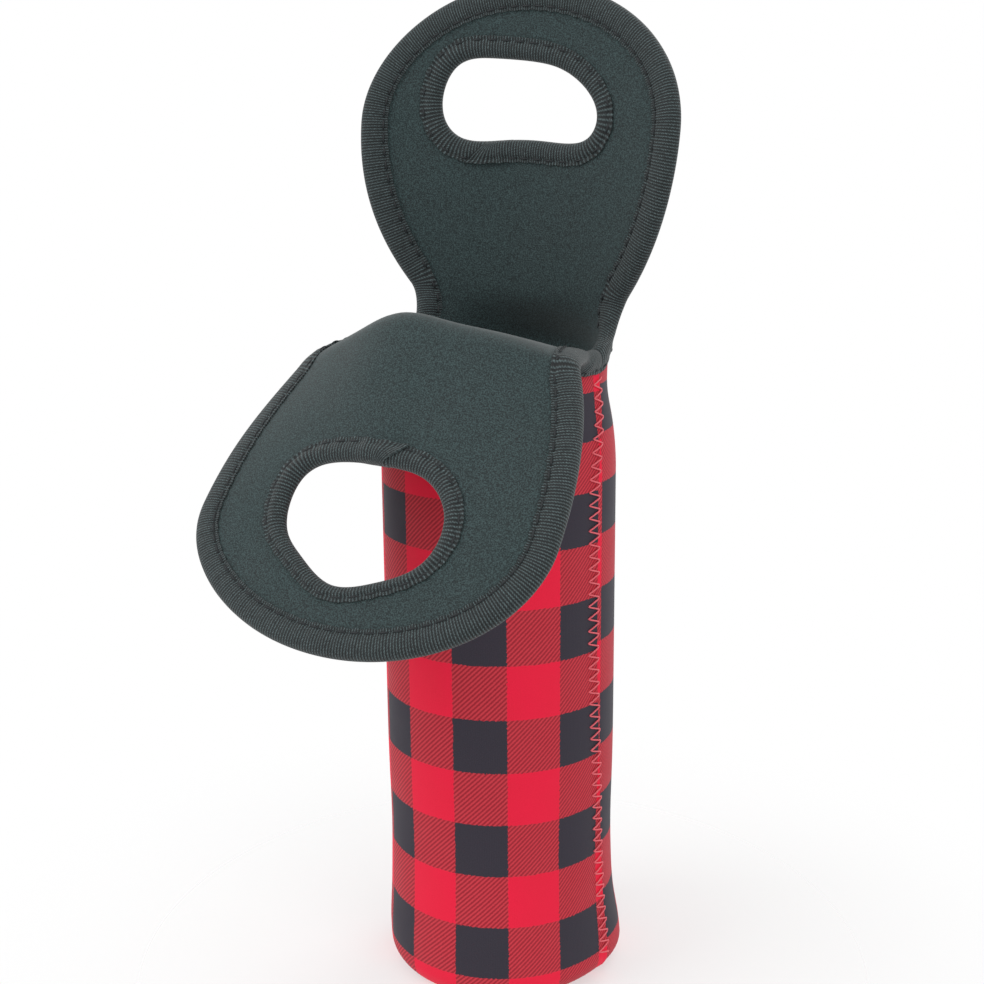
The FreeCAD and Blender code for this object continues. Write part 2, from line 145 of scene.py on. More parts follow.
# Outlines are those of the bound edges; a flap's own frame has its root on its bend and its tip up
HANDLES = {
    "front": dict(
        side=-1, pitch=146.0, skew=-1.6, shift=0.95, length=105.7, fade=2.95,
        root_half=50.6, half=64.8, widest=60.3, root_bow=12.0, tip_bow=0.8,
        sag_depth=7.6, sag_out=4.1, crest=4.9, edge_lead=(0, -4.0, 3.0), edge_run=(11.0, 3.5),
        hole_centre=(-2.4, 62.3), hole_start=0.65, hole_tape=7.0, hole_tape_narrows=1.6,
        hole=((-13.4, -19.1), (2.8, -18.9), (18.6, -18.7), (31.7, -5.7), (28.5, 11.9),
              (13, 18.4), (-2.4, 23.9), (-17.6, 12.8), (-28.9, 4.6), (-29.8, -18.2))),
    "back": dict(
        side=1, pitch=2.9, skew=2.4, shift=0.0, length=105.2, fade=0.55,
        root_half=43.2, half=61.4, widest=57.5, root_bow=10.3, tip_bow=0.8,
        sag_depth=0.0, sag_out=0.0, crest=0.0, edge_lead=(1.5, 8.0, 6.0), edge_run=(7.0, 7.0),
        hole_centre=(-1.6, 65.8), hole_start=0.0, hole_tape=7.6, hole_tape_narrows=0.0,
        hole=((-8, -13.6), (-25.6, -15.8), (-33.9, -3.6), (-27.5, 14.6), (-11.3, 14.1),
              (4.5, 13.2), (18.2, 10.4), (32.7, -2.9), (26.0, -15.8), (7, -13.4))),
}
FRONT_RISE, FRONT_FOLD_RADIUS, FRONT_RUN_OUT = 6.8, 8.0, 0.7
BACK_ROOT, BACK_REACH = (-1.4, 25.8, 252.2), 7.5
# The front flap's left side sags beside its bend, left of a low crest
SAG_START, SAG_SPAN, SAG_OUT_SPAN = 25.0, 100.0, 67.0
CREST_PLACE, CREST_SPAN, CREST_FADE = -11.9, 15.9, 62.0

# Seam threads
ZIGZAG_WIDTH, ZIGZAG_PITCH, ZIGZAG_FOOT = 5.4, 4.5, 9.0
ZIGZAG_HEAD, ZIGZAG_STEPS, ZIGZAG_SHARPNESS = 3.5, 20, 0.96
# How far the zigzag reaches past the seam and how fast it comes down from the seam's lip
ZIGZAG_OVERLAP, ZIGZAG_LIP_RATE = 0.6, 3
# Its height over the cloth where it turns, and what it gains between two turns
ZIGZAG_SEAT, ZIGZAG_ARCH = 0.1, 0.45
THREAD_RADIUS = 0.3
BASE_STITCHES, BASE_STITCH_HALF = 44, 1.7
BASE_STITCH_OUT, BASE_STITCH_SEAT, BASE_STITCH_ARCH = 0.3, 0.35, 0.35


def smooth(share):
    """Share from 0 to 1 with a level start and end."""
    share = np.clip(share, 0, 1)
    return share * share * (3 - 2 * share)


def unit(vectors):
    return vectors / np.maximum(np.linalg.norm(vectors, axis=-1, keepdims=True), TINY)


def join(*parts):
    """Parts spread to one shape and stacked along a new last axis, such as coordinates to points."""
    return np.stack(np.broadcast_arrays(*parts), axis=-1)


def steps(path, axis=0):
    """Lengths of the steps from point to point."""
    return np.linalg.norm(np.diff(path, axis=axis), axis=-1)


def travelled(path):
    """Length of a path from its start to each of its points."""
    return np.concatenate([[0], np.cumsum(steps(path))])


# Meshes

# Angles in degrees over which an edge of cloth, and of thread or tape, is drawn sharp
CLOTH_SHARP, THREAD_SHARP = 35.0, 60.0


def grid_faces(rows, columns, wrap_columns=False):
    """Quads of a grid of points stored row after row; wrapped rows join their ends to their starts."""
    index = np.arange(rows * columns).reshape(rows, columns)
    if wrap_columns:
        index = np.concatenate([index, index[:, :1]], axis=1)
    return join(index[:-1, :-1], index[:-1, 1:], index[1:, 1:], index[1:, :-1]).reshape(-1, 4)


def ring_points(radii, heights, count):
    """Points of level rings about the upright axis, one ring for each radius and height."""
    angle = np.linspace(0, 4 * QUARTER, count, endpoint=False)
    radii = radii[:, None]
    return join(radii * np.cos(angle), radii * np.sin(angle), heights[:, None]).reshape(-1, 3)


def quad_crosses(points, faces):
    """Cross product of each quad's diagonals: along its normal, and twice its area long."""
    first, second, third, fourth = (points[faces[:, corner]] for corner in range(4))
    return np.cross(third - first, fourth - second)


def surface_normals(points, faces):
    """Unit normals of the points, each from the quads round it."""
    normals = np.zeros_like(points)
    np.add.at(normals, faces, quad_crosses(points, faces)[:, None, :])
    return unit(normals)


def closed_sheet(top, bottom, faces):
    """Two layers over the same quads, and a rim of quads along every edge that only one quad has."""
    count = len(top)
    edges = faces[:, [[0, 1], [1, 2], [2, 3], [3, 0]]].reshape(-1, 2)
    there = edges[:, 0] * count + edges[:, 1]
    back = edges[:, 1] * count + edges[:, 0]
    free = edges[~np.isin(there, back)]
    rim = join(free[:, 1], free[:, 0], free[:, 0] + count, free[:, 1] + count)
    return np.concatenate([top, bottom]), np.concatenate([faces, faces[:, ::-1] + count, rim])


def layer(points, faces, low, high, level=0):
    """One ply: a surface moved along its normals to two depths, and closed round its edges.

    The normals of the first points, as many as level says, are kept level.
    """
    normals = surface_normals(points, faces)
    normals[:level] = unit(normals[:level] * [1, 1, 0])
    return closed_sheet(points + normals * high, points + normals * low, faces)


def add_object(name, data, place=(0, 0, 0), axes=np.eye(3)):
    """Object in the scene at a place in metres; the columns of axes are its own directions."""
    obj = bpy.data.objects.new(name, data)
    obj.matrix_world = Matrix.Translation(place) @ Matrix(axes.tolist()).to_4x4()
    bpy.context.scene.collection.objects.link(obj)
    return obj


def add_piece(name, points, faces, finish, cut=None, caps=(), sharp_angle=CLOTH_SHARP):
    """Mesh object in metres. Its faces are turned round together where they enclose less than nothing.

    cut gives each point its place on the flat cloth, in millimetres, for the UV map of that name.
    """
    first, second, third, fourth = (points[faces[:, corner]] for corner in range(4))
    volume = (first * np.cross(second, third)).sum() + (first * np.cross(third, fourth)).sum()
    polygons = faces.tolist() + [list(cap) for cap in caps]
    if volume < 0:
        polygons = [polygon[::-1] for polygon in polygons]
    mesh = bpy.data.meshes.new(name)
    mesh.from_pydata((points * MM).tolist(), [], polygons)
    mesh.validate()
    if cut is not None:
        corners = np.zeros(len(mesh.loops), np.int32)
        mesh.loops.foreach_get("vertex_index", corners)
        uv = mesh.uv_layers.new(name="cut")
        uv.data.foreach_set("uv", (cut[corners] * MM).astype(np.float32).ravel())
    mesh.shade_smooth()
    mesh.set_sharp_from_angle(angle=math.radians(sharp_angle))
    mesh.materials.append(finish)
    return add_object(name, mesh)


def sheet_area(points, faces):
    """Area in square metres."""
    return float(np.linalg.norm(quad_crosses(points, faces), axis=1).sum() / 2) * MM * MM


def flat_size(cut):
    """Width and length in metres of the box round a flat cut."""
    return tuple(((cut.max(axis=0) - cut.min(axis=0)) * MM).tolist())


# Finishes

class Signal:
    """A socket of one material. Sums, products and quotients of signals and numbers add Math nodes."""

    def __init__(self, tree, socket=None):
        self.tree = tree
        self.socket = socket

    def node(self, kind, settings=None, inputs=None, output=0):
        """Any other node: its settings are set first, then its sockets are set or linked."""
        made = self.tree.nodes.new(kind)
        for name, value in (settings or {}).items():
            setattr(made, name, value)
        for name, value in (inputs or {}).items():
            if isinstance(value, Signal):
                value.into(made, name)
            else:
                made.inputs[name].default_value = value
        return Signal(self.tree, made.outputs[output])

    def into(self, node, name):
        """Link this signal to a socket of a node."""
        self.tree.links.new(self.socket, node.inputs[name])

    def math(self, operation, first, second=0.0):
        return self.node("ShaderNodeMath", {"operation": operation}, {0: first, 1: second})

    def __add__(self, other):
        return self.math("ADD", self, other)

    __radd__ = __add__

    def __sub__(self, other):
        return self.math("SUBTRACT", self, other)

    def __rsub__(self, other):
        return self.math("SUBTRACT", other, self)

    def __mul__(self, other):
        return self.math("MULTIPLY", self, other)

    __rmul__ = __mul__

    def __truediv__(self, other):
        return self.math("DIVIDE", self, other)

    def fract(self):
        return self.math("FRACT", self)

    def below(self, limit):
        return self.math("LESS_THAN", self, limit)

    def wave(self):
        """From 0 to 1 and back once for each unit of the signal."""
        return self.math("SINE", self * (2 * math.pi)) * 0.5 + 0.5

    def ramp(self, low, high):
        """From 0 at one value to 1 at another, with a level start and end."""
        return self.node("ShaderNodeMapRange", {"interpolation_type": "SMOOTHSTEP"},
                         {"Value": self, "From Min": low, "From Max": high})

    def mix(self, first, second):
        """Colour between two colours, by this signal; a Mix node's colour sockets go by number."""
        return self.node("ShaderNodeMix", {"data_type": "RGBA"}, {0: self, 6: first, 7: second}, 2)

    def noise(self, vector, size, detail=2.0, stretch=None):
        """Noise whose grains are about one size, in millimetres."""
        if stretch is not None:
            vector = self.node("ShaderNodeMapping", None, {"Vector": vector, "Scale": stretch})
        return self.node("ShaderNodeTexNoise", None,
                         {"Vector": vector, "Scale": 1 / (size * MM), "Detail": detail})


def linear(red, green, blue):
    """Scene colour of an sRGB colour that is given from 0 to 255."""
    channels = np.array([red, green, blue]) / 255
    curve = np.where(channels <= 0.04045, channels / 12.92, ((channels + 0.055) / 1.055) ** 2.4)
    return (*curve.tolist(), 1.0)


SHEEN_ROUGHNESS, SPECULAR, BUMP_STRENGTH = 0.5, 0.3, 0.8
# How far a finish's roughness varies round its mean
ROUGHNESS_SWING = 0.2


def new_material(name, values):
    """Material, its shader with some sockets set, and a signal to start its nodes from."""
    material = bpy.data.materials.new(name)
    material.use_nodes = True
    shader = material.node_tree.nodes["Principled BSDF"]
    for socket, value in values.items():
        shader.inputs[socket].default_value = value
    return material, shader, Signal(material.node_tree)


def new_finish(name, paint, roughness, sheen=0.0, bump_depth=0.05):
    """Material from a function that gives its colour, its relief from 0 to 1 and its roughness signal."""
    material, shader, start = new_material(name, {
        "Sheen Weight": sheen, "Sheen Roughness": SHEEN_ROUGHNESS, "Sheen Tint": (1, 1, 1, 1),
        "Specular IOR Level": SPECULAR})
    colour, relief, rough = paint(start)
    colour.into(shader, "Base Color")
    if rough is None:
        shader.inputs["Roughness"].default_value = roughness
    else:
        uneven = rough * ROUGHNESS_SWING + (roughness - ROUGHNESS_SWING / 2)
        uneven.into(shader, "Roughness")
    bump = start.node("ShaderNodeBump", None, {
        "Height": relief, "Distance": bump_depth * MM, "Strength": BUMP_STRENGTH})
    bump.into(shader, "Normal")
    return material


def flat_place(start):
    """The place on the flat cloth: as a vector in metres, and across and along in millimetres."""
    place = start.node("ShaderNodeUVMap", {"uv_map": "cut"})
    split = start.node("ShaderNodeSeparateXYZ", None, {"Vector": place})
    along = Signal(start.tree, split.socket.node.outputs[1])
    return place, split / MM, along / MM


# Sizes and pitches are millimetres; colours are pairs of a darker and a lighter shade
# Print: sizes of its grains and clouds, reach of its frayed edges, pitches of its twill and its knit
FRAY_SIZE, FRAY_UP_SIZE, FRAY_UP_STRETCH, FRAY = 0.9, 0.8, (1.0, 1.7, 1.0), 1.3
PRINT_GRAIN, PRINT_CLOUD = 0.45, 14.0
TWILL_PITCH, WALE_PITCH, COURSE_PITCH = 1.75, 0.62, 0.5
RED = linear(228, 14, 50), linear(253, 28, 72)
TWILL = linear(160, 30, 46), linear(208, 56, 70)
BLACK = linear(34, 31, 40), linear(60, 55, 67)
# Lining: sizes of its loops, fibres and clouds
LOOP_SIZE, FIBRE_SIZE, FIBRE_STRETCH, LINING_CLOUD = 0.42, 0.8, (1.0, 3.0, 1.0), 16.0
SLATE = linear(2, 9, 11), linear(63, 83, 84)
# Tape: sizes of its grains and clouds, and pitches of its cords and its slanting knit
TAPE_GRAIN, TAPE_CLOUD, CORD_PITCH, SLANT_PITCH, SLANT_LEAN = 0.5, 9.0, 1.05, 0.8, 0.9
# Charcoal of the tape: its dark end also stands for painted shade between the cords, its light end for a
# painted highlight on them
CHARCOAL_SHADE_AND_HIGHLIGHT = linear(2, 4, 5), linear(96, 113, 115)
TWIST_SIZE = 0.4
DARK = linear(12, 14, 15), linear(44, 49, 52)
CORAL = linear(214, 62, 80), linear(252, 132, 140)
# Detail of the finer noise
FINE = 3.0


def paint_check(start):
    """Buffalo check: black where a dark column meets a dark row, twill where only one is dark."""
    place, across, along = flat_place(start)
    fray = start.noise(place, FRAY_SIZE, FINE) - 0.5
    fray_up = start.noise(place, FRAY_UP_SIZE, FINE, FRAY_UP_STRETCH) - 0.5
    column = ((across + fray * FRAY - COLUMN_START) / (2 * COLUMN_CHECK)).fract().below(0.5)
    row = ((along + fray_up * FRAY - ROW_START) / (2 * CHECK)).fract().below(0.5)
    both = column * row
    either = column + row - both * 2
    grain = start.noise(place, PRINT_GRAIN, FINE)
    cloud = start.noise(place, PRINT_CLOUD)
    line = ((across - along) / TWILL_PITCH + grain * 0.5).wave().ramp(0.15, 0.85)
    wale = (across / WALE_PITCH).wave() * (along / COURSE_PITCH).wave()
    red = (grain * 0.6 + cloud * 0.4).mix(*RED)
    twill = line.mix(*TWILL)
    black = (grain * 0.7 + cloud * 0.3).mix(*BLACK)
    colour = both.mix(either.mix(red, twill), black)
    relief = wale * 0.5 + grain * 0.3 + line * either * 0.2
    return colour, relief, cloud


def paint_lining(start):
    """Slate knit: fine mottled loops with a few lighter fibres."""
    place = start.node("ShaderNodeTexCoord", output="Object")
    loops = start.noise(place, LOOP_SIZE, FINE)
    fibre = start.noise(place, FIBRE_SIZE, stretch=FIBRE_STRETCH)
    cloud = start.noise(place, LINING_CLOUD)
    tone = loops.ramp(0.38, 0.66) * 0.7 + fibre * 0.15 + cloud * 0.15
    return tone.mix(*SLATE), loops * 0.7 + fibre * 0.3, cloud


def paint_tape(start):
    """Ribbed binding: fine cords across the tape, crossed by a slanting knit, painted lighter on the cords'
    crests as a highlight and darker between them as shade.
    """
    place, along, across = flat_place(start)
    grain = start.noise(place, TAPE_GRAIN, FINE)
    cloud = start.noise(place, TAPE_CLOUD)
    cords = ((along + grain * 0.35) / CORD_PITCH).wave()
    slant = ((along + across * SLANT_LEAN) / SLANT_PITCH + grain * 0.5).wave()
    relief = cords * 0.7 + slant * 0.3
    # Painted light: the tone follows the cords' relief, a painted highlight on their crests and painted
    # shade between them, broken up by a random speckle; the clouds vary it at random
    highlight_speckle = grain.ramp(0.34, 0.7)
    tone = relief.ramp(0.34, 0.98) * (highlight_speckle * 0.8 + 0.2) + cloud * 0.08
    return tone.mix(*CHARCOAL_SHADE_AND_HIGHLIGHT), relief, grain


def thread_paint(shades):
    """Paint of a twisted thread between two shades."""
    def paint(start):
        place = start.node("ShaderNodeTexCoord", output="Object")
        twist = start.noise(place, TWIST_SIZE)
        return twist.mix(*shades), twist, None
    return paint


PRINT = new_finish("check_print_knit", paint_check, 0.75, sheen=0.05)
LINING = new_finish("slate_knit_lining", paint_lining, 0.78, sheen=0.2, bump_depth=0.08)
TAPE = new_finish("ribbed_binding_tape", paint_tape, 0.7, sheen=0.15, bump_depth=0.22)
DARK_THREAD = new_finish("dark_lockstitch_thread", thread_paint(DARK), 0.55)
CORAL_THREAD = new_finish("coral_zigzag_thread", thread_paint(CORAL), 0.5)


# Sleeve

def wall_radius(height):
    """Outside radius above the foot: a slight waist over a swelling foot, drawn in at the mouth."""
    taper = (BODY_RADIUS - MOUTH_RADIUS) * smooth((height - TAPER_Z) / (RIM_Z - TAPER_Z))
    waist = WAIST_DEPTH * np.exp(-((height - WAIST_Z) / WAIST_SPAN) ** 2)
    swell = FOOT_SWELL * np.exp(-((height - SWELL_Z) / SWELL_SPAN) ** 2)
    return BODY_RADIUS - taper - waist + swell


def right_seam_angle(height):
    """Angle of the right seam from the front: a quarter turn at rim and foot, a little less between."""
    above = smooth((height - SEAM_LOW_Z) / SEAM_LOW_SPAN)
    return QUARTER - SEAM_SHIFT * above * (1 - smooth((height - SEAM_HIGH_Z) / SEAM_HIGH_SPAN))


def unevenness(angle, height):
    """What the sleeve's radius gains by its bulge beside the foot and loses by its pinch under the rim."""
    bulge = BULGE * np.exp(-((angle - BULGE_ANGLE) / BULGE_WIDTH) ** 2)
    bulge = bulge * smooth(height / BULGE_START) * np.exp(-(height / BULGE_FADE) ** 2)
    beside = ((angle - PINCH_ANGLE) / PINCH_WIDTH) ** 2
    above = ((height - PINCH_Z) / PINCH_SPAN) ** 2
    return bulge - PINCH * np.exp(-beside - above)


def drawn_row(height):
    """Height on the flat print of a height on the sleeve."""
    return height + DRAWN * np.clip((height - DRAWN_FROM) / DRAWN_SPAN, 0, None) ** 2


def back_column(angle):
    """Place across the flat print of the back panel, at an angle past the right seam."""
    return (angle + SEAM_SHIFT / 2) * BODY_RADIUS + COLUMN_START


def sleeve_panel(panel, seam_lip):
    """Outside of one panel: the foot's arc and the wall's profile, turned from seam to seam.

    Near a seam the front panel stands proud by the lip, and the back panel dips under it.
    """
    turn = np.linspace(-QUARTER, 0, FOOT_ROWS)
    foot = join(BODY_RADIUS - FOOT_RADIUS + FOOT_RADIUS * np.cos(turn),
                FOOT_RADIUS + FOOT_RADIUS * np.sin(turn))
    heights = np.linspace(FOOT_RADIUS, RIM_Z, BAND_ROWS)[1:]
    wall = join(wall_radius(heights), heights)
    foot[:, 0] += (wall_radius(FOOT_RADIUS) - BODY_RADIUS) * smooth((turn + QUARTER) / QUARTER)
    profile = np.concatenate([foot, wall])
    travel = travelled(profile)
    flat_up = drawn_row(profile[-1, 1] - (travel[-1] - travel))
    across = np.linspace(-1, 1, ACROSS * 2 + 1)
    radius, height = profile[:, :1], profile[:, 1:]
    seam = right_seam_angle(height)
    if panel == "front":
        angle = np.where(across > 0, across * seam, across * QUARTER)
        lip = seam_lip
    else:
        angle = 2 * QUARTER - np.where(across > 0, across * (2 * QUARTER - seam), across * QUARTER)
        lip = -seam_lip * BACK_DIP_SHARE
    reach = (1 - np.abs(across)) * QUARTER * BODY_RADIUS
    fade = 1 - smooth((height - RIM_Z + LIP_FADE_DEPTH) / LIP_FADE_SPAN)
    radius = radius + lip * np.exp(-(reach / SEAM_LIP_SPAN) ** 2) * fade + unevenness(angle, height)
    if panel == "front" and seam_lip:
        angle = angle - np.sign(across) * SEAM_GAP_ANGLE * (np.abs(across) == 1)
    points = join(radius * np.sin(angle), -radius * np.cos(angle), height)
    if panel == "front":
        cut = join(angle * BODY_RADIUS, flat_up[:, None])
    else:
        cut = join(back_column(angle - QUARTER), flat_up[:, None] - BACK_ROW_SHIFT)
    return points.reshape(-1, 3), grid_faces(*angle.shape), cut.reshape(-1, 2)


def base_ply(low, high):
    """Closed round plate: rings from its middle to its rounded edge and back, with a cap at each middle."""
    shares = np.linspace(BASE_FIRST_RING, 1, BASE_RINGS)
    across = np.concatenate([shares, shares[::-1]]) * BASE_RADIUS
    edge = BASE_ROUNDING * (high - low) * smooth((shares - BASE_EDGE_START) / (1 - BASE_EDGE_START))
    up = np.concatenate([low + edge, (high - edge)[::-1]])
    points = ring_points(across, up, BASE_TURNS)
    faces = grid_faces(len(across), BASE_TURNS, wrap_columns=True)
    caps = [range(BASE_TURNS)[::-1], range(len(points) - BASE_TURNS, len(points))]
    return points, faces, caps


# Handle flaps

def turn_about_x(degrees):
    sine, cosine = math.sin(math.radians(degrees)), math.cos(math.radians(degrees))
    return np.array([[1, 0, 0], [0, cosine, -sine], [0, sine, cosine]])


def turn_about_y(degrees):
    sine, cosine = math.sin(math.radians(degrees)), math.cos(math.radians(degrees))
    return np.array([[cosine, 0, sine], [0, 1, 0], [-sine, 0, cosine]])


def bezier(start, leaving, arriving, end, share):
    """Point on the curve that leaves start towards one point and reaches end from another."""
    rest = 1 - share
    return (start * rest ** 3 + leaving * (3 * rest ** 2 * share)
            + arriving * (3 * rest * share ** 2) + end * share ** 3)


class Handle:
    """Middle surface of one panel above the rim: a bend, then a bowed flap with a hand hole."""

    def __init__(self, panel):
        self.panel = panel
        self.__dict__.update(HANDLES[panel])
        self.frame = turn_about_x(self.pitch) @ turn_about_y(self.skew)
        if panel == "front":
            self.root = self.front_middle(np.ones(1))[0] + np.array([self.shift, 0, 0])
        else:
            self.root = np.array(BACK_ROOT)
        corner, beyond = self.flap(*self.dense_outline()[:2].T, False)
        self.leave = unit(beyond - corner)
        self.root_angle = 2 * math.atan(self.root_bow / self.root_half)

    def sag(self, across, up):
        """How far the sheet lies to the left and down near the bend, apart from a low crest."""
        reach = np.clip((SAG_START - across) / (SAG_START + self.root_half), 0, None) ** 2
        crest = np.exp(-((across - CREST_PLACE) / CREST_SPAN) ** 2) * (1 - smooth(up / CREST_FADE))
        sideways = self.sag_out * reach * (1 - smooth(up / SAG_OUT_SPAN))
        down = self.sag_depth * reach * (1 - smooth(up / SAG_SPAN)) - self.crest * crest
        return join(sideways, 0, down)

    def flap(self, across, up, sagging=True):
        """Flap at a place: an arc across it whose curvature fades from the bend to the tip."""
        share = np.clip(up / self.length, 0, 1)
        keep = (1 - share) ** self.fade
        root = 2 * self.root_bow / (self.root_half ** 2 + self.root_bow ** 2)
        tip = 2 * self.tip_bow / (self.half ** 2 + self.tip_bow ** 2)
        radius = 1 / (keep * root + (1 - keep) * tip)
        arc = np.sqrt(radius ** 2 - across ** 2) - radius
        points = self.root + join(across, arc, up) @ self.frame.T
        return points - self.sag(across, up) if sagging else points

    def front_middle(self, share):
        """Middle line of the front bend: up from the rim, round the fold, and out to the flap."""
        turn = math.radians(self.pitch)
        travel = share * (FRONT_RISE + FRONT_FOLD_RADIUS * turn + FRONT_RUN_OUT)
        angle = np.clip((travel - FRONT_RISE) / FRONT_FOLD_RADIUS, 0, turn)
        beyond = np.clip(travel - FRONT_RISE - FRONT_FOLD_RADIUS * turn, 0, None)
        out = FRONT_FOLD_RADIUS * (1 - np.cos(angle)) + beyond * math.sin(turn)
        up = np.minimum(travel, FRONT_RISE) + FRONT_FOLD_RADIUS * np.sin(angle) + beyond * math.cos(turn)
        return join(0, -RIM_MIDDLE - out, RIM_Z + up)

    def middle(self, share):
        """Middle line of the bend; the back one rises from the rim and runs into the flap's own slope."""
        if self.panel == "front":
            sideways = np.array([self.shift, 0, 0])
            return self.front_middle(share) + smooth(share)[:, None] * sideways
        rim = np.array([0, RIM_MIDDLE, RIM_Z])
        lift = np.array([0, 0, BACK_REACH])
        below = self.root - self.frame[:, 2] * BACK_REACH
        return bezier(rim, rim + lift, below, self.root, share[:, None])

    def edge(self, side, share):
        """Side edge of the bend: up from the top of the side seam, and round to the flap's corner."""
        start = np.array([side * RIM_MIDDLE, 0, RIM_Z])
        right = self.dense_outline()[0] * [side, 1]
        end = self.flap(right[:1], right[1:], False)[0]
        local_leave = (np.linalg.inv(self.frame) @ self.leave) * [side, 1, 1]
        arriving = end - self.frame @ local_leave * self.edge_run[side > 0]
        leaving = start + np.array(self.edge_lead) * [side, 1, 1]
        return bezier(start, leaving, arriving, end, share[:, None])

    def bend(self, share, across):
        """Bend at a share of its height: an arc from edge to edge through the middle line."""
        left, right, middle = self.edge(-1, share), self.edge(1, share), self.middle(share)
        centre, half = (left + right) / 2, (right - left) / 2
        rise = middle - centre
        angle = 2 * np.arctan(np.linalg.norm(rise, axis=1) / np.linalg.norm(half, axis=1))[:, None]
        across = np.broadcast_to(across, (len(share), np.shape(across)[-1]))
        along = (np.sin(across * angle) / np.sin(angle))[..., None]
        out = ((np.cos(across * angle) - np.cos(angle)) / (1 - np.cos(angle)))[..., None]
        points = centre[:, None] + along * half[:, None] + out * rise[:, None]
        return points - self.sag(self.root_across(across), 0 * across) * smooth(share)[:, None, None]

    def root_across(self, across):
        """Place across the flap's root for a share of its arc."""
        return self.root_half * np.sin(across * self.root_angle) / math.sin(self.root_angle)

    def dense_outline(self, inset=0.0):
        """Free edge from the right corner round the tip: an arc out, half an ellipse and an arc in."""
        half, tip = self.half - inset, self.length - inset
        flare = self.half - self.root_half
        radius = (flare ** 2 + self.widest ** 2) / (2 * flare)
        up = np.linspace(0, self.widest, OUTLINE_STEPS)[:-1]
        side = join(half - radius + np.sqrt(radius ** 2 - (self.widest - up) ** 2), up)
        turn = np.linspace(0, QUARTER, OUTLINE_STEPS)
        top = join(half * np.cos(turn), self.widest + (tip - self.widest) * np.sin(turn))
        right = np.concatenate([side, top])
        return np.concatenate([right, right[-2::-1] * [-1, 1]])

    def hole_outline(self, count, grow=0.0):
        """Closed smooth curve drawn by the hole's corner points, and moved outwards."""
        corners = np.array(self.hole, float)
        place = (np.arange(count) / count * len(corners) + self.hole_start) % len(corners)
        index = place.astype(int)
        share = (place - index)[:, None]
        before, first, second, after = (corners[(index + step) % len(corners)] for step in (-1, 0, 1, 2))
        curve = ((1 - share) ** 3 * before + (3 * share ** 3 - 6 * share ** 2 + 4) * first
                 + (-3 * share ** 3 + 3 * share ** 2 + 3 * share + 1) * second + share ** 3 * after) / 6
        curve = curve + self.hole_centre
        ahead = np.roll(curve, -1, axis=0) - np.roll(curve, 1, axis=0)
        away = unit(ahead) @ np.array([[0, -1], [1, 0]])
        away = away * np.sign(((curve - curve.mean(axis=0)) * away).sum())
        return curve + away * grow

    def bend_cut(self, share, rows, root):
        """Place on the flat cloth of the bend's rows: lengths along each row from its middle.

        They are scaled to meet the sleeve's print at the rim and the flap's print at its root.
        """
        arc = np.cumsum(steps(rows, 1), axis=1)
        arc = np.concatenate([0 * arc[:, :1], arc], axis=1)
        arc = arc - arc[:, [ACROSS // 2]]
        rim_scale = QUARTER * BODY_RADIUS / arc[0, -1]
        root_scale = np.where(arc[-1] == 0, 1, np.abs(root) / np.maximum(np.abs(arc[-1]), TINY))
        settle = smooth(share)[:, None]
        flat_across = arc * (rim_scale * (1 - settle) + root_scale * settle)
        flat_up = drawn_row(RIM_Z) + share[:, None] * self.bend_length()
        return join(flat_across, flat_up)

    def rings(self, root, free):
        """Places on the flap in closed rings, from its root and free edge in to the edge of its hole."""
        outer = np.concatenate([root, free])
        hole = self.hole_outline(HOLE_SPOKES, TAPE_REACH)
        centre = hole.mean(axis=0)
        angle = np.arctan2(*(outer - centre).T[::-1])
        hole_angle = np.arctan2(*(hole - centre).T[::-1])
        order = np.argsort(hole_angle)
        hole_reach = np.linalg.norm(hole - centre, axis=1)
        reach = np.interp(angle, hole_angle[order], hole_reach[order], period=4 * QUARTER)
        inner = centre + join(np.cos(angle), np.sin(angle)) * reach[:, None]
        fill = (np.arange(RINGS + 1) / RINGS)[:, None, None]
        return outer * (1 - fill) + inner * fill

    def sheet(self):
        """Bend and flap as one grid: rows up the bend, then rings from its last row and the free edge."""
        share = np.linspace(0, 1, BEND_ROWS + 1)
        root_share = (1 - TAPE_REACH / self.root_half) * math.sin(self.root_angle)
        root_edge = math.asin(root_share) / self.root_angle
        tuck = smooth(share / TUCK_SHARE) + TUCK_MORE * np.sin(math.pi * share) ** 2
        across = np.linspace(-1, 1, ACROSS + 1) * (1 - (1 - root_edge) * tuck[:, None])
        rows = self.bend(share, across)
        root_across = self.root_across(across[-1])
        root = join(root_across, 0)
        free = evenly(FREE_EDGE, self.dense_outline(TAPE_REACH))[0][1:-1]
        rings = self.rings(root, free)
        beyond = np.concatenate([free, rings[1:].reshape(-1, 2)])
        points = np.concatenate([rows.reshape(-1, 3), self.flap(beyond[:, 0], beyond[:, 1])])
        lift = drawn_row(RIM_Z) + self.bend_length()
        bend_cut = self.bend_cut(share, rows, root_across)
        cut = np.concatenate([bend_cut.reshape(-1, 2), beyond + [0, lift]])
        if self.panel == "back":
            cut = [back_column(QUARTER), -BACK_ROW_SHIFT] + cut * [-1, 1]
        bend_count, ring_count = (BEND_ROWS + 1) * (ACROSS + 1), rings.shape[1]
        first_ring = np.arange(bend_count - len(root), bend_count + len(free))
        later = bend_count + len(free) + np.arange(RINGS * ring_count)
        ring_index = np.concatenate([first_ring, later])
        faces = np.concatenate([grid_faces(BEND_ROWS + 1, ACROSS + 1),
                                ring_index[grid_faces(RINGS + 1, ring_count, wrap_columns=True)]])
        return points, faces, cut

    def bend_length(self):
        """Length of the bend's middle line."""
        return float(steps(self.middle(np.linspace(0, 1, MIDDLE_STEPS))).sum())

